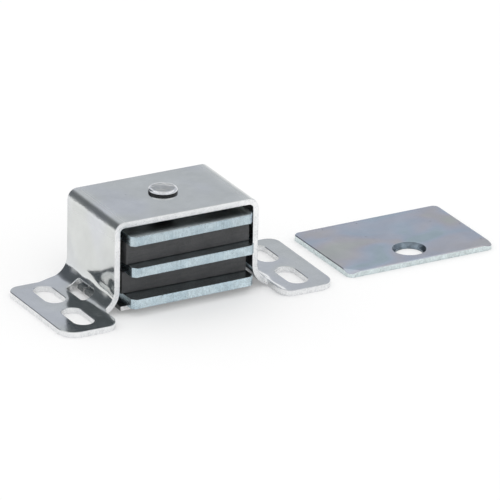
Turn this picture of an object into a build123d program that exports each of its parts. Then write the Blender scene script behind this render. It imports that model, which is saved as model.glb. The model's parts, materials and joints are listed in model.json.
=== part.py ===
"""Magnetic catch: a hat-section steel bracket that carries a floating pack of
three pole plates and two ferrite magnets on a rivet, with its strike plate.

Millimetres, +Z up. The origin lies in the mounting plane under the middle of
the bracket's body. +X runs along its width and the pole faces look along -Y.
"""
import math
import os

from build123d import *

# ---------------------------------------------------------------- driving sizes
# magnet pack
PLATE_WIDTH = 30.0
PLATE_THICK = 2.2
MAGNET_THICK = 5.1
MAGNET_OVERHANG = 0.1           # magnet past the plates on each side
POLE_PROUD = 2.9                # pole faces ahead of the bracket's front edge
PACK_BACK_INSET = 1.3           # back of the pack inside the bracket's back edge
UPPER_MAGNET_SETBACK = 2.9      # pole face to the magnet's front
LOWER_MAGNET_SETBACK = 3.9
PLATE_CORNER = 1.0              # cut-off front corners of the pole plates
PLATE_EDGE = 0.25               # rounding along the pole plates' long edges
MAGNET_EDGE = 0.3
PACK_TURN = 1.2                 # degrees the pack stands turned on the rivet
LOWER_MAGNET_TURN = -1.5        # degrees the lower magnet lies askew in the pack
TOP_PLATE_SHIFT = -0.2          # sideways place that each plate has slipped to
MIDDLE_PLATE_SHIFT = 0.25
BOTTOM_PLATE_SHIFT = 0.1

# play of the pack in the bracket
SIDE_PLAY = 1.2                 # plates to each wall
HEADROOM = 1.2                  # top plate to the bracket's top
PACK_FLOAT = 0.6                # radial play on the rivet

# bracket sheet
SHEET = 1.3                     # thickness of the bracket's steel
BODY_DEPTH = 22.4               # front edge to back edge of top and walls
TOP_BEND = 1.0                  # inner radius where the top meets a wall
FOOT_BEND = 4.3                 # radius of the hollow between wall and flange
EDGE_BREAK = 0.12               # bevel that the punch leaves on the outer side

# mounting flanges
FLANGE_REACH = 15.5             # outside of the wall to the flange's end
FLANGE_FRONT = 7.6              # how far the flange runs ahead of the body
FLANGE_BACK_STEP = 1.3          # how far it stops short of the body's back
FLANGE_NECK = 2.4               # wall's outside to the step in the outline
BACK_STEP_START = 4.0           # wall's outside to the start of the back step
BACK_STEP_RUN = 3.5             # length along X over which the back step runs
FLANGE_FRONT_CORNER = 4.0       # outer corner radius at the front
FLANGE_BACK_CORNER = 2.8        # outer corner radius at the back
FLANGE_INNER_CORNER = 3.2       # radius of the front corner beside the body
NECK_FILLET = 0.8               # inside corner between body and flange
BACK_STEP_FILLET = 2.0          # softening of the back step

# screw slots, long way along Y
SLOT_WIDTH = 4.7
SLOT_LENGTH = 9.8
SLOT_SPACING = 13.4             # centre to centre along Y
SLOT_FROM_WALL = 8.6            # wall's outside to the slots' centre line
SLOT_CENTRE_Y = -4.05           # middle of each pair

# retainer plate under the pack, its tabs and the slots that hold them
RETAINER_THICK = 1.0
RETAINER_LIFT = 0.9             # mounting plane to the plate's underside
RETAINER_SIDE_GAP = 0.1         # to each wall
RETAINER_FRONT = 0.3            # proud of the body's front edge
RETAINER_BACK_GAP = 0.3         # short of the body's back edge
TAB_Y = 0.6                     # middle of the tab
TAB_WIDTH = 6.6
TAB_REACH = 2.5                 # beyond the plate's side
TAB_CUT = 0.7                   # staking cut across each tab
TAB_CUT_FROM_FRONT = 3.3        # width of the tab's front finger
TAB_CUT_DEPTH = 1.7
TAB_FRONT_PLAY = 1.0            # slot past the tab at its front
TAB_BACK_PLAY = 0.6             # slot past the tab at its back
TAB_TOP_PLAY = 0.08             # slot's upper edge above the tab
TAB_SLOT_WIDTH = 3.6            # across the foot bend
TAB_SLOT_CORNER = 1.0

# rivet
RIVET_X = 0.5                   # axis from the middle of the bracket's body
RIVET_Y = 1.0
SHANK_RADIUS = 2.4
SHANK_FIT = 0.05                # radial clearance in bracket and retainer
HEAD_RADIUS = 3.25
HEAD_SIDE = 0.85                # height of the head's side, rounding included
HEAD_CROWN = 0.3                # rise of the dome above the side
HEAD_ROLL = 0.55                # rounding between side and dome
TAIL_RADIUS = 3.5
TAIL_CLEARANCE = 0.2            # tail above the mounting plane
TAIL_BEVEL = 0.4
TAIL_BORE_RADIUS = 1.5
TAIL_BORE_DEPTH = 5.0

# strike plate, which lies beside the catch
STRIKE_WIDTH = 36.5
STRIKE_DEPTH = 25.25
STRIKE_THICK = 1.35
STRIKE_CORNER = 1.5
STRIKE_BREAK = 0.15             # bevel of the punched upper edge
STRIKE_HOLE_RADIUS = 3.05
STRIKE_SINK_RADIUS = 3.8        # countersink at the upper face
STRIKE_HOLE_LAND = 0.5          # straight part of the hole under the countersink
STRIKE_HOLE_EDGE = 6.1          # front edge to the hole's centre
STRIKE_HOLE_OFFSET = 0.3        # hole's centre to the right of the middle
STRIKE_FACET = 3.0              # how far each front corner is struck down
STRIKE_FACET_DROP = 0.7
STRIKE_GAP = 4.65               # right flange's end to the strike
STRIKE_CENTRE_Y = -2.6
STRIKE_TURN = 1.0               # degrees it lies turned

# ---------------------------------------------------------------- derived sizes
WALL_INNER_X = PLATE_WIDTH / 2 + SIDE_PLAY
WALL_X = WALL_INNER_X + SHEET
FRONT_Y = -BODY_DEPTH / 2
BACK_Y = BODY_DEPTH / 2

RETAINER_TOP = RETAINER_LIFT + RETAINER_THICK
RETAINER_HALF_X = WALL_INNER_X - RETAINER_SIDE_GAP
BOTTOM_PLATE_Z = RETAINER_TOP
LOWER_MAGNET_Z = BOTTOM_PLATE_Z + PLATE_THICK
MIDDLE_PLATE_Z = LOWER_MAGNET_Z + MAGNET_THICK
UPPER_MAGNET_Z = MIDDLE_PLATE_Z + PLATE_THICK
TOP_PLATE_Z = UPPER_MAGNET_Z + MAGNET_THICK
INNER_TOP_Z = TOP_PLATE_Z + PLATE_THICK + HEADROOM
BODY_HEIGHT = INNER_TOP_Z + SHEET

PACK_FRONT = POLE_PROUD - FRONT_Y
PACK_BACK = BACK_Y - PACK_BACK_INSET
PACK_BORE = SHANK_RADIUS + PACK_FLOAT
RIVET_AXIS = Axis((RIVET_X, RIVET_Y, 0), (0, 0, 1))
MAGNET_WIDTH = PLATE_WIDTH + 2 * MAGNET_OVERHANG

FLANGE_END_X = WALL_X + FLANGE_REACH
FLANGE_FRONT_Y = FRONT_Y - FLANGE_FRONT
FLANGE_BACK_Y = BACK_Y - FLANGE_BACK_STEP
SLOT_X = WALL_X + SLOT_FROM_WALL
FOOT_X = WALL_X + FOOT_BEND
FOOT_Z = SHEET + FOOT_BEND
FOOT_OUTER = FOOT_BEND + SHEET
OUTER_BEND = TOP_BEND + SHEET

# the tab slot's upper edge clears the retainer's upper face
TAB_SLOT_TOP = math.asin((FOOT_Z - RETAINER_TOP - TAB_TOP_PLAY) / FOOT_OUTER)
TAB_SLOT_ANGLE = TAB_SLOT_TOP + math.asin(TAB_SLOT_WIDTH / 2 / FOOT_OUTER)
TAB_SLOT_LENGTH = TAB_WIDTH + TAB_FRONT_PLAY + TAB_BACK_PLAY
TAB_SLOT_Y = TAB_Y + (TAB_BACK_PLAY - TAB_FRONT_PLAY) / 2

STRIKE_X = FLANGE_END_X + STRIKE_GAP + STRIKE_WIDTH / 2
STRIKE_SINK_DEPTH = STRIKE_THICK - STRIKE_HOLE_LAND
STRIKE_SINK_ANGLE = math.degrees(2 * math.atan((STRIKE_SINK_RADIUS - STRIKE_HOLE_RADIUS) / STRIKE_SINK_DEPTH))


def mirrored(points):
    """The points of a right-hand outline, then the same ones on the left."""
    return points + [(-x, y) for x, y in reversed(points)]


# ---------------------------------------------------------------------- bracket
def hat_section():
    """Section of the folded sheet in X and Z: flange, wall, top, wall, flange."""
    inner_turn = (WALL_INNER_X - TOP_BEND, INNER_TOP_Z - TOP_BEND)
    outer_turn = (WALL_X - OUTER_BEND, BODY_HEIGHT - OUTER_BEND)
    foot = (FOOT_X, FOOT_Z)
    with BuildSketch(Plane.XZ) as section:
        with BuildLine():
            # inner face, from the middle of the top to the flange's end
            under_top = Line((0, INNER_TOP_Z), (inner_turn[0], INNER_TOP_Z))
            CenterArc(inner_turn, TOP_BEND, 90, -90)
            Line((WALL_INNER_X, inner_turn[1]), (WALL_INNER_X, FOOT_Z))
            CenterArc(foot, FOOT_OUTER, 180, 90)
            Line((FOOT_X, 0), (FLANGE_END_X, 0))
            Line((FLANGE_END_X, 0), (FLANGE_END_X, SHEET))
            # outer face, back to the middle of the top
            Line((FLANGE_END_X, SHEET), (FOOT_X, SHEET))
            CenterArc(foot, FOOT_BEND, 270, -90)
            Line((WALL_X, FOOT_Z), (WALL_X, outer_turn[1]))
            CenterArc(outer_turn, OUTER_BEND, 0, 90)
            over_top = Line((outer_turn[0], BODY_HEIGHT), (0, BODY_HEIGHT))
            Line(over_top @ 1, under_top @ 0)
        make_face()
        mirror(about=Plane.YZ)
    return section.sketch


def plan_outline():
    """Outline of the folded bracket seen from above."""
    neck_x = WALL_X + FLANGE_NECK
    step_x = WALL_X + BACK_STEP_START
    corners = mirrored([
        (neck_x, FRONT_Y),
        (neck_x, FLANGE_FRONT_Y),
        (FLANGE_END_X, FLANGE_FRONT_Y),
        (FLANGE_END_X, FLANGE_BACK_Y),
        (step_x + BACK_STEP_RUN, FLANGE_BACK_Y),
        (step_x, BACK_Y),
    ])
    radii = [
        NECK_FILLET,
        FLANGE_INNER_CORNER,
        FLANGE_FRONT_CORNER,
        FLANGE_BACK_CORNER,
        BACK_STEP_FILLET,
        BACK_STEP_FILLET,
    ]
    radii = radii + radii[::-1]
    with BuildSketch() as outline:
        with BuildLine():
            FilletPolyline(*corners, radius=radii, close=True)
        make_face()
    return outline.sketch


def tab_slot(side):
    """Cutter for the slot across a foot bend; side is +1 right, -1 left."""
    across = (-side * math.cos(TAB_SLOT_ANGLE), 0, -math.sin(TAB_SLOT_ANGLE))
    plane = Plane(origin=(side * FOOT_X, TAB_SLOT_Y, FOOT_Z), x_dir=(0, 1, 0), z_dir=across)
    with BuildPart() as cutter:
        with BuildSketch(plane):
            RectangleRounded(TAB_SLOT_LENGTH, TAB_SLOT_WIDTH, TAB_SLOT_CORNER)
        extrude(amount=FOOT_OUTER + SHEET)
    return cutter.part


def screw_slots():
    """Cutters for the four screw slots in the flanges."""
    with BuildPart() as cutters:
        with BuildSketch():
            for side in (-1, 1):
                for end in (-1, 1):
                    with Locations((side * SLOT_X, SLOT_CENTRE_Y + end * SLOT_SPACING / 2)):
                        SlotOverall(SLOT_LENGTH, SLOT_WIDTH, rotation=90)
        extrude(amount=SHEET)
    return cutters.part


def outer_rim(part):
    """Edges that bound the sheet's outer side, from flange to flange over the top."""
    faces = part.faces()
    near = SHEET / 10
    skin = []
    for z in (SHEET, BODY_HEIGHT):
        skin += faces.filter_by(Plane.XY).filter_by_position(Axis.Z, z - near, z + near)
    for x in (-WALL_X, WALL_X):
        skin += faces.filter_by(Plane.YZ).filter_by_position(Axis.X, x - near, x + near)
    for face in faces.filter_by(GeomType.CYLINDER):
        along_y = abs(face.normal_at().Y) < near
        if along_y and min(abs(face.radius - FOOT_BEND), abs(face.radius - OUTER_BEND)) < near:
            skin.append(face)
    edges = [edge for face in skin for edge in face.edges()]
    return [edge for edge in edges if sum(edge.is_same(other) for other in edges) == 1]


def make_bracket():
    """Folded sheet: the hat section trimmed to the plan, pierced, edges broken."""
    hat = extrude(hat_section(), amount=BACK_Y - FLANGE_FRONT_Y, dir=(0, 1, 0))
    plan = extrude(plan_outline(), amount=BODY_HEIGHT)
    with BuildPart() as bracket:
        add(hat.moved(Location((0, FLANGE_FRONT_Y, 0))) & plan)
        add(screw_slots(), mode=Mode.SUBTRACT)
        for side in (-1, 1):
            add(tab_slot(side), mode=Mode.SUBTRACT)
        with Locations((RIVET_X, RIVET_Y, INNER_TOP_Z + SHEET / 2)):
            Cylinder(SHANK_RADIUS + SHANK_FIT, SHEET, mode=Mode.SUBTRACT)
        chamfer(outer_rim(bracket), EDGE_BREAK)
    return bracket.part


# --------------------------------------------------------------- retainer plate
def make_retainer():
    """Flat plate under the pack, with a staked tab in each bend slot."""
    front = FRONT_Y - RETAINER_FRONT
    back = BACK_Y - RETAINER_BACK_GAP
    with BuildPart() as retainer:
        with BuildSketch(Plane.XY.offset(RETAINER_LIFT)):
            with Locations((0, (front + back) / 2)):
                Rectangle(2 * RETAINER_HALF_X, back - front)
            with Locations((0, TAB_Y)):
                Rectangle(2 * (RETAINER_HALF_X + TAB_REACH), TAB_WIDTH)
            cut_y = TAB_Y - TAB_WIDTH / 2 + TAB_CUT_FROM_FRONT + TAB_CUT / 2
            for side in (-1, 1):
                cut_x = side * (RETAINER_HALF_X + TAB_REACH - TAB_CUT_DEPTH / 2)
                with Locations((cut_x, cut_y)):
                    Rectangle(TAB_CUT_DEPTH, TAB_CUT, mode=Mode.SUBTRACT)
            with Locations((RIVET_X, RIVET_Y)):
                Circle(SHANK_RADIUS + SHANK_FIT, mode=Mode.SUBTRACT)
        extrude(amount=RETAINER_THICK)
    return retainer.part


# ------------------------------------------------------------------ magnet pack
def pack_block(width, front, thick, bottom, shift, edge, corner=0):
    """One layer of the pack with its clearance hole, square to the bracket."""
    with BuildPart() as block:
        with BuildSketch(Plane.XY.offset(bottom)) as plan:
            with Locations((shift, (PACK_BACK - front) / 2)):
                Rectangle(width, PACK_BACK + front)
            if corner > 0:
                chamfer(plan.vertices().group_by(Axis.Y)[0], corner)
            with Locations((RIVET_X + shift, RIVET_Y)):
                Circle(PACK_BORE, mode=Mode.SUBTRACT)
        extrude(amount=thick)
        fillet(block.edges().filter_by(Axis.X).group_by(Axis.Y)[0], edge)
    return block.part


def make_pole_plate(bottom, shift):
    plate = pack_block(PLATE_WIDTH, PACK_FRONT, PLATE_THICK, bottom, shift, PLATE_EDGE, PLATE_CORNER)
    return plate.rotate(RIVET_AXIS, PACK_TURN)


def make_magnet(bottom, setback, turn):
    front = PACK_FRONT - setback
    block = pack_block(MAGNET_WIDTH, front, MAGNET_THICK, bottom, 0, MAGNET_EDGE)
    return block.rotate(RIVET_AXIS, PACK_TURN + turn)


# ------------------------------------------------------------------------ rivet
def make_rivet():
    """Semi-tubular rivet: low domed head above, rolled tail under the retainer."""
    bore_z = TAIL_CLEARANCE + TAIL_BORE_DEPTH
    shoulder_z = BODY_HEIGHT + HEAD_SIDE
    dome = (HEAD_RADIUS**2 + HEAD_CROWN**2) / (2 * HEAD_CROWN)
    with BuildPart() as rivet:
        with BuildSketch(Plane.XZ) as half:
            with BuildLine():
                Polyline(
                    (0, bore_z),
                    (TAIL_BORE_RADIUS, bore_z),
                    (TAIL_BORE_RADIUS, TAIL_CLEARANCE),
                    (TAIL_RADIUS - TAIL_BEVEL, TAIL_CLEARANCE),
                    (TAIL_RADIUS, TAIL_CLEARANCE + TAIL_BEVEL),
                    (TAIL_RADIUS, RETAINER_LIFT),
                    (SHANK_RADIUS, RETAINER_LIFT),
                    (SHANK_RADIUS, BODY_HEIGHT),
                    (HEAD_RADIUS, BODY_HEIGHT),
                    (HEAD_RADIUS, shoulder_z),
                )
                RadiusArc((HEAD_RADIUS, shoulder_z), (0, shoulder_z + HEAD_CROWN), -dome)
                Line((0, shoulder_z + HEAD_CROWN), (0, bore_z))
            make_face()
            corner = half.vertices().sort_by_distance((HEAD_RADIUS, shoulder_z))[0]
            fillet(corner, HEAD_ROLL)
        revolve(axis=Axis.Z)
    return rivet.part.moved(Location((RIVET_X, RIVET_Y, 0)))


# ----------------------------------------------------------------- strike plate
def corner_facet(side):
    """Cutter above the sloped facet on one front corner of the strike."""
    run = STRIKE_FACET / math.sqrt(2)
    tilt = math.atan2(STRIKE_FACET_DROP, run)
    lean = side * math.sin(tilt) / math.sqrt(2)
    corner = (side * STRIKE_WIDTH / 2, -STRIKE_DEPTH / 2, STRIKE_THICK - STRIKE_FACET_DROP)
    normal = (lean, -abs(lean), math.cos(tilt))
    with BuildPart() as cutter:
        with BuildSketch(Plane(origin=corner, x_dir=(1, side, 0), z_dir=normal)):
            Rectangle(STRIKE_WIDTH, STRIKE_WIDTH)
        extrude(amount=STRIKE_THICK)
    return cutter.part


def make_strike():
    """Flat steel plate that the pole faces pull, with one countersunk hole."""
    with BuildPart() as strike:
        with BuildSketch():
            RectangleRounded(STRIKE_WIDTH, STRIKE_DEPTH, STRIKE_CORNER)
        extrude(amount=STRIKE_THICK)
        chamfer(strike.faces().sort_by(Axis.Z)[-1].edges(), STRIKE_BREAK)
        with Locations((STRIKE_HOLE_OFFSET, STRIKE_HOLE_EDGE - STRIKE_DEPTH / 2, STRIKE_THICK)):
            CounterSinkHole(STRIKE_HOLE_RADIUS, STRIKE_SINK_RADIUS, counter_sink_angle=STRIKE_SINK_ANGLE)
        for side in (-1, 1):
            add(corner_facet(side), mode=Mode.SUBTRACT)
    turned = strike.part.rotate(Axis.Z, STRIKE_TURN)
    return turned.moved(Location((STRIKE_X, STRIKE_CENTRE_Y, 0)))


# --------------------------------------------------------------------- assembly
def build_nodes():
    return {
        "bracket": make_bracket(),
        "retainer_plate": make_retainer(),
        "rivet": make_rivet(),
        "pole_plate_top": make_pole_plate(TOP_PLATE_Z, TOP_PLATE_SHIFT),
        "pole_plate_middle": make_pole_plate(MIDDLE_PLATE_Z, MIDDLE_PLATE_SHIFT),
        "pole_plate_bottom": make_pole_plate(BOTTOM_PLATE_Z, BOTTOM_PLATE_SHIFT),
        "magnet_upper": make_magnet(UPPER_MAGNET_Z, UPPER_MAGNET_SETBACK, 0),
        "magnet_lower": make_magnet(LOWER_MAGNET_Z, LOWER_MAGNET_SETBACK, LOWER_MAGNET_TURN),
        "strike_plate": make_strike(),
    }


os.makedirs("parts", exist_ok=True)
for name, node in build_nodes().items():
    export_step(node, os.path.join("parts", name + ".step"))
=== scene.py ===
import json
import math

import bpy
from mathutils import Matrix, Vector


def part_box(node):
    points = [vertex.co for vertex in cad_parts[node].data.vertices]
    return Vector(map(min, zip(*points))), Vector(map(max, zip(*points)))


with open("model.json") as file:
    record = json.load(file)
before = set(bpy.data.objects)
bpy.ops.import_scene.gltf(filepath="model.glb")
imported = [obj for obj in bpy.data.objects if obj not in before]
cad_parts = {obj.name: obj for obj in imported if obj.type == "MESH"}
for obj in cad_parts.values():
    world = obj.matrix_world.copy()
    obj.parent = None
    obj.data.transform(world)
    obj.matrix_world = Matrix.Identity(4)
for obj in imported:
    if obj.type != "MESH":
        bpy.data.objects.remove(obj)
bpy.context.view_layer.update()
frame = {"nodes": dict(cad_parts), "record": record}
nodes = frame["nodes"]
scene = bpy.context.scene
scene.view_settings.view_transform = "Standard"

# ---------------------------------------------------------------- sizes and places
MM = 0.001
X, Y, Z = 0, 1, 2

BRACKET_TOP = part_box("bracket")[1][Z]
WALL_OUTSIDE = 17.5 * MM        # middle of the bracket to the outside of a wall
FLANGE_TOP = 1.35 * MM          # just above the flange's upper face
FLANGE_START = WALL_OUTSIDE + 2 * MM
SINK_RADIUS = 3.8 * MM          # countersink of the strike's hole
RIM_INSIDE = 2.45 * MM          # where the rivet's painted rim highlight starts
RIM_OUTSIDE = 2.75 * MM
EDGE_ROUNDING = 0.12 * MM       # softening of every edge in the shading


def plan_middle(name):
    """Middle of a CAD node's box in the plan."""
    low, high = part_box(name)
    return (low[X] + high[X]) / 2, (low[Y] + high[Y]) / 2


def plan_mount(name):
    """Place of a mount of the record in the plan."""
    found = next(entry for entry in frame["record"]["mounts"] if entry["name"] == name)
    return found["pos_m"][:2]


# ------------------------------------------------------------------- shading kit
class Tree:
    """A material's or world's node tree with short helpers."""

    def __init__(self, holder):
        holder.use_nodes = True
        self.tree = holder.node_tree
        self.tree.nodes.clear()

    def add(self, kind, **values):
        node = self.tree.nodes.new(kind)
        for key, value in values.items():
            setattr(node, key, value)
        return node

    def join(self, out, into):
        self.tree.links.new(out, into)

    def feed(self, socket, value):
        """Links a socket to an output, or sets it to a plain value."""
        if isinstance(value, bpy.types.NodeSocket):
            self.join(value, socket)
        else:
            socket.default_value = value

    def math(self, operation, a, b=0.0):
        node = self.add("ShaderNodeMath", operation=operation)
        self.feed(node.inputs[0], a)
        self.feed(node.inputs[1], b)
        return node.outputs[0]

    def wrap(self, degrees):
        """The same angle between -180 and 180."""
        node = self.add("ShaderNodeMath", operation="WRAP")
        for socket, value in zip(node.inputs, (degrees, 180.0, -180.0)):
            self.feed(socket, value)
        return node.outputs[0]

    def product(self, first, *others):
        for other in others:
            first = self.math("MULTIPLY", first, other)
        return first

    def remap(self, value, low, high, to_low=0.0, to_high=1.0, kind="SMOOTHSTEP"):
        """Takes low..high to to_low..to_high, and holds those two beyond it."""
        node = self.add("ShaderNodeMapRange", interpolation_type=kind)
        for socket, given in zip(node.inputs, (value, low, high, to_low, to_high)):
            self.feed(socket, given)
        return node.outputs[0]

    def mix(self, factor, a, b):
        """Mixes two colours."""
        node = self.add("ShaderNodeMix", data_type="RGBA")
        for number, value in ((0, factor), (6, a), (7, b)):
            self.feed(node.inputs[number], value)
        return node.outputs[2]

    def blend(self, factor, a, b):
        """Mixes two numbers."""
        node = self.add("ShaderNodeMix", data_type="FLOAT")
        for number, value in ((0, factor), (2, a), (3, b)):
            self.feed(node.inputs[number], value)
        return node.outputs[0]

    def ramp(self, value, stops):
        node = self.add("ShaderNodeValToRGB")
        elements = node.color_ramp.elements
        while len(elements) < len(stops):
            elements.new(0.5)
        for element, (place, colour) in zip(elements, stops):
            element.position = place
            element.color = colour
        self.feed(node.inputs[0], value)
        return node.outputs[0]

    def noise(self, vector, size, detail=2.0, rough=0.5, distortion=0.0):
        """Noise whose grains are about size metres across."""
        node = self.add("ShaderNodeTexNoise")
        self.feed(node.inputs["Vector"], vector)
        node.inputs["Scale"].default_value = 1.0 / size
        node.inputs["Detail"].default_value = detail
        node.inputs["Roughness"].default_value = rough
        node.inputs["Distortion"].default_value = distortion
        return node.outputs[0]

    def stretch(self, vector, x, y, z):
        node = self.add("ShaderNodeMapping")
        self.feed(node.inputs["Vector"], vector)
        node.inputs["Scale"].default_value = (x, y, z)
        return node.outputs[0]

    def parts(self, vector):
        node = self.add("ShaderNodeSeparateXYZ")
        self.feed(node.inputs[0], vector)
        return node.outputs

    def facing(self, axis):
        """1 where the surface faces along an axis, either way, and 0 where it runs along it."""
        normal = self.add("ShaderNodeNewGeometry").outputs["True Normal"]
        return self.math("ABSOLUTE", self.parts(normal)[axis])

    def from_axis(self, vector, centre):
        """Distance from the upright axis through centre."""
        node = self.add("ShaderNodeVectorMath", operation="DISTANCE")
        self.join(self.stretch(vector, 1.0, 1.0, 0.0), node.inputs[0])
        node.inputs[1].default_value = (*centre, 0)
        return node.outputs["Value"]


def grey(value):
    return (value, value, value, 1)


# --------------------------------------------------------------- material pieces
def begin(name, metallic):
    """An empty Principled material, with its tree, object coordinates and shader."""
    made = bpy.data.materials.new(name)
    t = Tree(made)
    place = t.add("ShaderNodeTexCoord").outputs["Object"]
    shader = t.add("ShaderNodeBsdfPrincipled")
    shader.inputs["Metallic"].default_value = metallic
    t.join(shader.outputs[0], t.add("ShaderNodeOutputMaterial").inputs["Surface"])
    return made, t, place, shader


def grains(t, place, *sizes):
    """Noise of each grain size, coarse to fine."""
    return [t.noise(place, size, 2.5, 0.55, 0.3) for size in sizes]


def tone(t, value, amount):
    """Turns a noise value into a factor around 1."""
    return t.remap(value, 0.3, 0.7, 1.0 - amount, 1.0 + amount, kind="LINEAR")


def spread(t, value, low, high):
    """Turns a noise value into a number from low to high."""
    return t.remap(value, 0.3, 0.7, low, high)


def about_zero(t, value, strength):
    """A noise value moved to lie around zero, times a strength."""
    return t.product(t.math("SUBTRACT", value, 0.5), strength)


def scaled(t, colour, factor):
    node = t.add("ShaderNodeVectorMath", operation="SCALE")
    t.feed(node.inputs[0], colour if isinstance(colour, bpy.types.NodeSocket) else colour[:3])
    t.feed(node.inputs["Scale"], factor)
    return node.outputs[0]


def specks(t, place, spacing, size, share, depth):
    """Sparse pits: depth in a pit, 0 elsewhere. share is the part of cells that have one."""
    cells = t.add("ShaderNodeTexVoronoi", feature="F1")
    t.feed(cells.inputs["Vector"], place)
    cells.inputs["Scale"].default_value = 1.0 / spacing
    dot = t.remap(cells.outputs["Distance"], size / spacing, 0.4 * size / spacing)
    chosen = t.math("LESS_THAN", t.parts(cells.outputs["Color"])[0], share)
    return t.product(dot, chosen, depth)


def relief(t, heights):
    """Softly rounded edges, and bump built from pairs of a noise and its depth in metres."""
    corner = t.add("ShaderNodeBevel", samples=6)
    corner.inputs["Radius"].default_value = EDGE_ROUNDING
    normal = corner.outputs[0]
    for height, depth in heights:
        node = t.add("ShaderNodeBump")
        node.inputs["Strength"].default_value = 1.0
        node.inputs["Distance"].default_value = depth
        t.join(height, node.inputs["Height"])
        t.join(normal, node.inputs["Normal"])
        normal = node.outputs[0]
    return normal


def sheared(t, place, colour, rough, amount):
    """Colour, roughness and height of an edge that the punch sheared through the sheet."""
    tears = t.noise(t.stretch(place, 1.0, 1.0, 0.6), 0.24 * MM, 3.0, 0.6)
    patches = t.noise(place, 1.3 * MM, 2.0, 0.5)
    shade = t.product(tone(t, tears, amount), tone(t, patches, amount * 0.5))
    return scaled(t, colour, shade), spread(t, tears, rough * 0.8, rough * 1.2), tears


def worked(t, place):
    """1 on the bracket's upper bends, on the strained part of those bends, and on its feet."""
    here = t.parts(place)
    side = t.math("ABSOLUTE", here[X])
    high_up = t.remap(here[Z], BRACKET_TOP - 6.2 * MM, BRACKET_TOP - 3.2 * MM)
    near_wall = t.remap(side, WALL_OUTSIDE - 5 * MM, WALL_OUTSIDE - 2 * MM)
    shoulder = t.product(high_up, near_wall)
    strained = t.product(shoulder, t.remap(here[Z], BRACKET_TOP - 0.8 * MM, BRACKET_TOP - 2 * MM))
    low_down = t.remap(here[Z], 12 * MM, 6 * MM)
    foot = t.product(low_down, t.remap(side, WALL_OUTSIDE + 9.5 * MM, WALL_OUTSIDE + 4.5 * MM))
    return shoulder, strained, foot


def cut_edges(t, place):
    """1 on the bracket's cut edges: across the sheet, or round a flange."""
    here = t.parts(place)
    across = t.remap(t.facing(Y), 0.55, 0.85)
    upright = t.math("LESS_THAN", t.facing(Z), 0.5)
    low = t.math("LESS_THAN", here[Z], FLANGE_TOP)
    far_out = t.math("GREATER_THAN", t.math("ABSOLUTE", here[X]), FLANGE_START)
    return t.math("MAXIMUM", across, t.product(upright, low, far_out))


# --------------------------------------------------------------------- materials
def bracket_zinc():
    """Bright zinc on smooth sheet, faintly wavy, dull on bends and sheared edges, with a few pits."""
    made, t, place, shader = begin("bracket_zinc", 1.0)
    wave, cloud, patch, fine = grains(t, place, 7 * MM, 3 * MM, 1.1 * MM, 0.35 * MM)
    cast = t.remap(t.noise(place, 14 * MM, 1.0), 0.4, 0.6)
    warm_and_cool = t.mix(cast, (0.745, 0.765, 0.75, 1), (0.73, 0.75, 0.775, 1))
    skin = scaled(t, warm_and_cool, t.product(tone(t, wave, 0.05), tone(t, cloud, 0.02), tone(t, fine, 0.02)))
    shoulder, strained, foot = worked(t, place)
    skin_rough = t.blend(shoulder, spread(t, cloud, 0.10, 0.15), 0.29)
    edge, edge_rough, tears = sheared(t, place, (0.94, 0.95, 0.96), 0.32, 0.14)
    cut = cut_edges(t, place)
    pit = specks(t, place, 2.6 * MM, 0.17 * MM, share=0.10, depth=0.75)
    t.feed(shader.inputs["Base Color"], t.mix(pit, t.mix(cut, skin, edge), grey(0.06)))
    t.feed(shader.inputs["Roughness"], t.blend(cut, skin_rough, edge_rough))
    swell = t.noise(place, 6 * MM, 0.0)
    ripple = t.noise(place, 0.7 * MM, 1.0, 0.4)
    t.join(relief(t, [
        (cloud, 0.012 * MM),
        (patch, 0.004 * MM),
        (fine, 0.0015 * MM),
        (about_zero(t, swell, foot), 0.5 * MM),
        (about_zero(t, swell, shoulder), 0.2 * MM),
        (about_zero(t, ripple, strained), 0.09 * MM),
        (t.product(tears, cut), 0.05 * MM),
    ]), shader.inputs["Normal"])
    return made


def pole_zinc(name, level):
    """A ground pole plate under bluish zinc with a coarse grain; level scales its colour as painted light,
    lighter on the lower plates to offset the shadow they mirror.
    """
    made, t, place, shader = begin(name, 1.0)
    cloud, patch, fine = grains(t, place, 4 * MM, 0.9 * MM, 0.28 * MM)
    strokes = t.noise(t.stretch(place, 1.0, 1.0, 0.12), 0.4 * MM)
    blues = t.mix(t.remap(cloud, 0.35, 0.65), (0.57, 0.70, 0.77, 1), (0.63, 0.745, 0.80, 1))
    shades = (tone(t, cloud, 0.06), tone(t, patch, 0.09), tone(t, fine, 0.13), tone(t, strokes, 0.08))
    pit = specks(t, place, 1.5 * MM, 0.16 * MM, share=0.09, depth=0.8)
    # Painted light: level makes the lower plates' colour lighter, to offset the shadow mirrored in them.
    ground = t.mix(pit, scaled(t, blues, t.product(level, *shades)), grey(0.05))
    flat = t.remap(t.facing(Z), 0.75, 0.9)
    flat_colour = scaled(t, (0.50, 0.55, 0.56), tone(t, cloud, 0.1))
    t.feed(shader.inputs["Base Color"], t.mix(flat, ground, flat_colour))
    t.feed(shader.inputs["Roughness"], t.blend(flat, spread(t, fine, 0.22, 0.34), 0.26))
    t.join(relief(t, [(patch, 0.02 * MM), (fine, 0.012 * MM)]), shader.inputs["Normal"])
    return made


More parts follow.
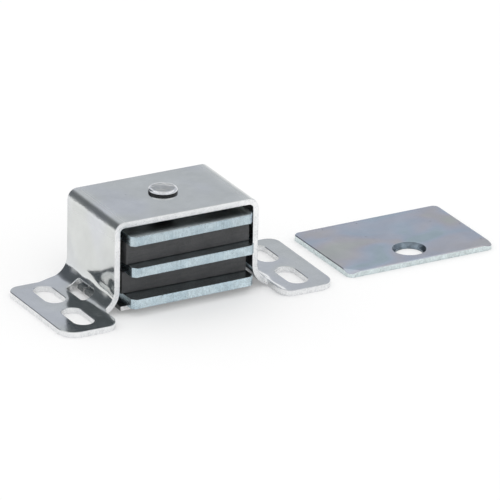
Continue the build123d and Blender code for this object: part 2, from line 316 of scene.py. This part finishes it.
def strike_zinc():
    """Zinc plate with thin-film tints: teal, blue, rose and straw clouds over a blue grey; the bore of its
    hole is painted dark as painted shade.
    """
    made, t, place, shader = begin("strike_zinc", 1.0)
    cloud, patch, fine = grains(t, place, 5 * MM, 1.2 * MM, 0.3 * MM)
    film = t.noise(t.stretch(place, 1.0, 1.3, 1.0), 13 * MM, 1.5, 0.45, 0.5)
    tint = t.ramp(film, [
        (0.34, (0.47, 0.58, 0.63, 1)),
        (0.44, (0.51, 0.59, 0.69, 1)),
        (0.52, (0.55, 0.58, 0.66, 1)),
        (0.60, (0.585, 0.575, 0.60, 1)),
        (0.68, (0.58, 0.60, 0.57, 1)),
    ])
    skin = scaled(t, tint, t.product(tone(t, cloud, 0.03), tone(t, fine, 0.025)))
    edge, edge_rough, tears = sheared(t, place, (0.73, 0.81, 0.82), 0.34, 0.20)
    middle = t.from_axis(place, plan_mount("strike_hole"))
    bore = t.remap(middle, SINK_RADIUS + 0.05 * MM, SINK_RADIUS - 0.05 * MM)
    # Painted shade: the hole's bore is painted dark, as the shade inside the hole.
    bore_painted_shade = scaled(t, (0.21, 0.26, 0.305), tone(t, patch, 0.3))
    cut = t.math("MAXIMUM", bore, t.remap(t.facing(Z), 0.65, 0.45))
    pit = specks(t, place, 1.7 * MM, 0.22 * MM, share=0.08, depth=0.8)
    plate = t.mix(cut, skin, t.mix(bore, edge, bore_painted_shade))
    t.feed(shader.inputs["Base Color"], t.mix(pit, plate, (0.05, 0.06, 0.08, 1)))
    cut_rough = t.blend(bore, edge_rough, 0.22)
    t.feed(shader.inputs["Roughness"], t.blend(cut, spread(t, cloud, 0.16, 0.24), cut_rough))
    t.join(relief(t, [
        (cloud, 0.02 * MM),
        (patch, 0.008 * MM),
        (fine, 0.003 * MM),
        (t.product(tears, cut), 0.05 * MM),
    ]), shader.inputs["Normal"])
    return made


def retainer_zinc():
    """Dull zinc on the retainer, rougher than the bracket, with painted shade making it darker than the
    bracket and a painted highlight making its front edge bright.
    """
    made, t, place, shader = begin("retainer_zinc", 1.0)
    cloud, patch, fine = grains(t, place, 3 * MM, 0.8 * MM, 0.3 * MM)
    front_highlight_mask = t.remap(t.facing(Y), 0.5, 0.8)
    # Painted shade and highlight: the faces are painted dark as shade in the slot, and the faces across Y are
    # painted bright as a highlight.
    colour = t.mix(front_highlight_mask, (0.26, 0.275, 0.28, 1), grey(0.85))
    shade = t.product(tone(t, patch, 0.26), tone(t, fine, 0.14))
    t.feed(shader.inputs["Base Color"], scaled(t, colour, shade))
    t.feed(shader.inputs["Roughness"], spread(t, cloud, 0.32, 0.45))
    t.join(relief(t, [(patch, 0.03 * MM), (fine, 0.01 * MM)]), shader.inputs["Normal"])
    return made


def rivet_zinc():
    """Bright zinc on the rivet, dimpled by the setting tool, its head painted darker in the middle and bright
    at the rim as painted shade and a painted highlight, and its upright side painted near black as painted
    shadow under the head.
    """
    made, t, place, shader = begin("rivet_zinc", 1.0)
    dent, patch, fine = grains(t, place, 1.7 * MM, 0.7 * MM, 0.3 * MM)
    painted_rim_highlight = t.remap(t.from_axis(place, plan_middle("rivet")), RIM_INSIDE, RIM_OUTSIDE)
    level = t.facing(Z)
    # Painted shadow: the upright side is painted near black, as the shadow under the head.
    side = t.remap(level, 0.25, 0.1)
    rolled = t.remap(level, 0.95, 0.8)
    # Painted light: the head's middle is painted darker and its rim bright, as painted shade and a painted
    # highlight.
    face = t.mix(painted_rim_highlight, (0.54, 0.555, 0.555, 1), (0.88, 0.89, 0.91, 1))
    shade = t.product(tone(t, dent, 0.10), tone(t, fine, 0.04))
    t.feed(shader.inputs["Base Color"], scaled(t, t.mix(side, face, grey(0.06)), shade))
    top_rough = t.blend(rolled, spread(t, dent, 0.08, 0.16), 0.2)
    t.feed(shader.inputs["Roughness"], t.blend(side, top_rough, 0.12))
    dimple = about_zero(t, dent, t.math("SUBTRACT", 1.0, rolled))
    t.join(relief(t, [(dimple, 0.24 * MM), (patch, 0.02 * MM), (fine, 0.003 * MM)]), shader.inputs["Normal"])
    return made


def ferrite():
    """Sintered ferrite: matt charcoal with a fine grain and faint pressing lines."""
    made, t, place, shader = begin("ferrite", 0.0)
    cloud, patch, fine = grains(t, place, 4 * MM, 1.0 * MM, 0.3 * MM)
    lines = t.noise(t.stretch(place, 0.15, 0.15, 1.6), 0.6 * MM)
    shade = t.product(tone(t, cloud, 0.12), tone(t, fine, 0.14), tone(t, lines, 0.1))
    t.feed(shader.inputs["Base Color"], scaled(t, (0.067, 0.068, 0.071), shade))
    t.feed(shader.inputs["Roughness"], spread(t, patch, 0.42, 0.6))
    t.join(relief(t, [(patch, 0.02 * MM), (fine, 0.012 * MM)]), shader.inputs["Normal"])
    return made


def paint(material, *names):
    """Gives every face of these CAD nodes one material."""
    for name in names:
        slots = nodes[name].data.materials
        slots.clear()
        slots.append(material)


paint(bracket_zinc(), "bracket")
paint(retainer_zinc(), "retainer_plate")
paint(rivet_zinc(), "rivet")
paint(strike_zinc(), "strike_plate")
# The three plates should look about equally light, though the lower ones mirror more shadow, so level paints
# their colour lighter: painted light.
paint(pole_zinc("pole_zinc_top", 0.82), "pole_plate_top")
paint(pole_zinc("pole_zinc_middle", 0.89), "pole_plate_middle")
paint(pole_zinc("pole_zinc_bottom", 1.02), "pole_plate_bottom")
paint(ferrite(), "magnet_upper", "magnet_lower")


# ------------------------------------------------------------------------ camera
def aim_camera(azimuth, elevation, roll, lens, distance, right_shift, up_shift):
    """A long lens at the photograph's angle; the shifts slide it across its view."""
    a, e, r = (math.radians(v) for v in (azimuth, elevation, roll))
    back = Vector((math.sin(a) * math.cos(e), -math.cos(a) * math.cos(e), math.sin(e)))
    level = Vector((math.cos(a), math.sin(a), 0))
    upright = back.cross(level)
    right = math.cos(r) * level + math.sin(r) * upright
    up = back.cross(right)
    data = bpy.data.cameras.new("camera")
    data.lens = lens
    data.sensor_width = 36.0
    camera = bpy.data.objects.new("camera", data)
    scene.collection.objects.link(camera)
    turn = Matrix((right, up, back)).transposed().to_4x4()
    place = right * right_shift + up * up_shift + back * distance
    camera.matrix_world = Matrix.Translation(place) @ turn
    scene.camera = camera


aim_camera(
    azimuth=-28.595,
    elevation=22.612,
    roll=0.952,
    lens=687.1,
    distance=2.0704,
    right_shift=0.019119,
    up_shift=0.007289,
)

# ------------------------------------------------------------------------ studio
FLOOR_REACH = 6.0               # metres from the middle to each side
PAPER = 0.8                     # how much light the floor's paper returns
LIFT_SEEN = 0.22                # added to it for the camera, so that it is white
LIFT_NEAR = 0.11                # added to it in the metal, close to the object
LIFT_FAR = 0.20                 # and further off
NEAR, FAR = 0.07, 0.10          # metres from the middle between which that rises

SCREEN = (0.545, 0.565, 0.605, 1)
DARK = (0.09, 0.10, 0.11, 1)
ALL_ROUND = 230                 # degrees: half a turn and more, so that its side fade falls outside


def lay_floor(material):
    """The square floor, which belongs to the studio."""
    mesh = bpy.data.meshes.new("floor")
    corners = [(-FLOOR_REACH, -FLOOR_REACH, 0), (FLOOR_REACH, -FLOOR_REACH, 0),
               (FLOOR_REACH, FLOOR_REACH, 0), (-FLOOR_REACH, FLOOR_REACH, 0)]
    mesh.from_pydata(corners, [], [(0, 1, 2, 3)])
    mesh.materials.append(material)
    obj = bpy.data.objects.new("floor", mesh)
    scene.collection.objects.link(obj)


def floor_paper():
    """White paper that keeps the shadow, lifted to white for the camera and in the metal."""
    made = bpy.data.materials.new("floor_paper")
    t = Tree(made)
    paper = t.add("ShaderNodeBsdfDiffuse")
    paper.inputs["Color"].default_value = grey(PAPER)
    lift = t.add("ShaderNodeEmission")
    lift.inputs["Color"].default_value = grey(1.0)
    away = t.add("ShaderNodeVectorMath", operation="LENGTH")
    t.join(t.add("ShaderNodeTexCoord").outputs["Object"], away.inputs[0])
    in_metal = t.remap(away.outputs["Value"], NEAR, FAR, LIFT_NEAR, LIFT_FAR)
    path = t.add("ShaderNodeLightPath").outputs
    mirrored = t.math("MAXIMUM", path["Is Glossy Ray"], path["Is Transmission Ray"])
    seen = t.product(path["Is Camera Ray"], LIFT_SEEN)
    t.feed(lift.inputs["Strength"], t.math("ADD", seen, t.product(mirrored, in_metal)))
    both = t.add("ShaderNodeAddShader")
    t.join(paper.outputs[0], both.inputs[0])
    t.join(lift.outputs[0], both.inputs[1])
    t.join(both.outputs[0], t.add("ShaderNodeOutputMaterial").inputs["Surface"])
    return made


def card(t, aim, middle, half_width, low, high, fade, side_fade):
    """1 inside a soft-edged card of the surround, 0 outside it; all in degrees."""
    compass, height = aim
    turned = t.math("ABSOLUTE", t.wrap(t.math("SUBTRACT", compass, middle)))
    across = t.remap(turned, half_width + side_fade, half_width - side_fade)
    above = t.remap(height, low - fade, low + fade)
    below = t.remap(height, high + fade, high - fade)
    return t.product(across, above, below)


def surround():
    """A white studio; in the metal also a grey screen all round, a dark one, and a grey ceiling."""
    world = bpy.data.worlds.new("studio")
    scene.world = world
    t = Tree(world)
    x, y, z = t.parts(t.add("ShaderNodeTexCoord").outputs["Generated"])[:3]
    compass = t.product(t.math("ARCTAN2", x, y), math.degrees(1))
    height = t.product(t.math("ARCSINE", z), math.degrees(1))
    aim = (compass, height)
    white = grey(1.0)
    seen = t.mix(t.remap(height, 45, 75), white, grey(0.66))
    for colour, area in (
        (SCREEN, card(t, aim, 0, ALL_ROUND, low=11, high=41, fade=3, side_fade=19)),
        (DARK, card(t, aim, -22, 20, low=-4, high=48, fade=5, side_fade=5)),
        (SCREEN, card(t, aim, 38, 37, low=11, high=41, fade=3, side_fade=19)),
        (grey(0.72), card(t, aim, 38, 14, low=32, high=60, fade=2, side_fade=4)),
    ):
        seen = t.mix(area, seen, colour)
    glossy = t.add("ShaderNodeLightPath").outputs["Is Glossy Ray"]
    sky = t.add("ShaderNodeBackground")
    t.feed(sky.inputs["Color"], t.mix(glossy, white, seen))
    sky.inputs["Strength"].default_value = 1.0
    t.join(sky.outputs[0], t.add("ShaderNodeOutputWorld").inputs["Surface"])


lay_floor(floor_paper())
surround()
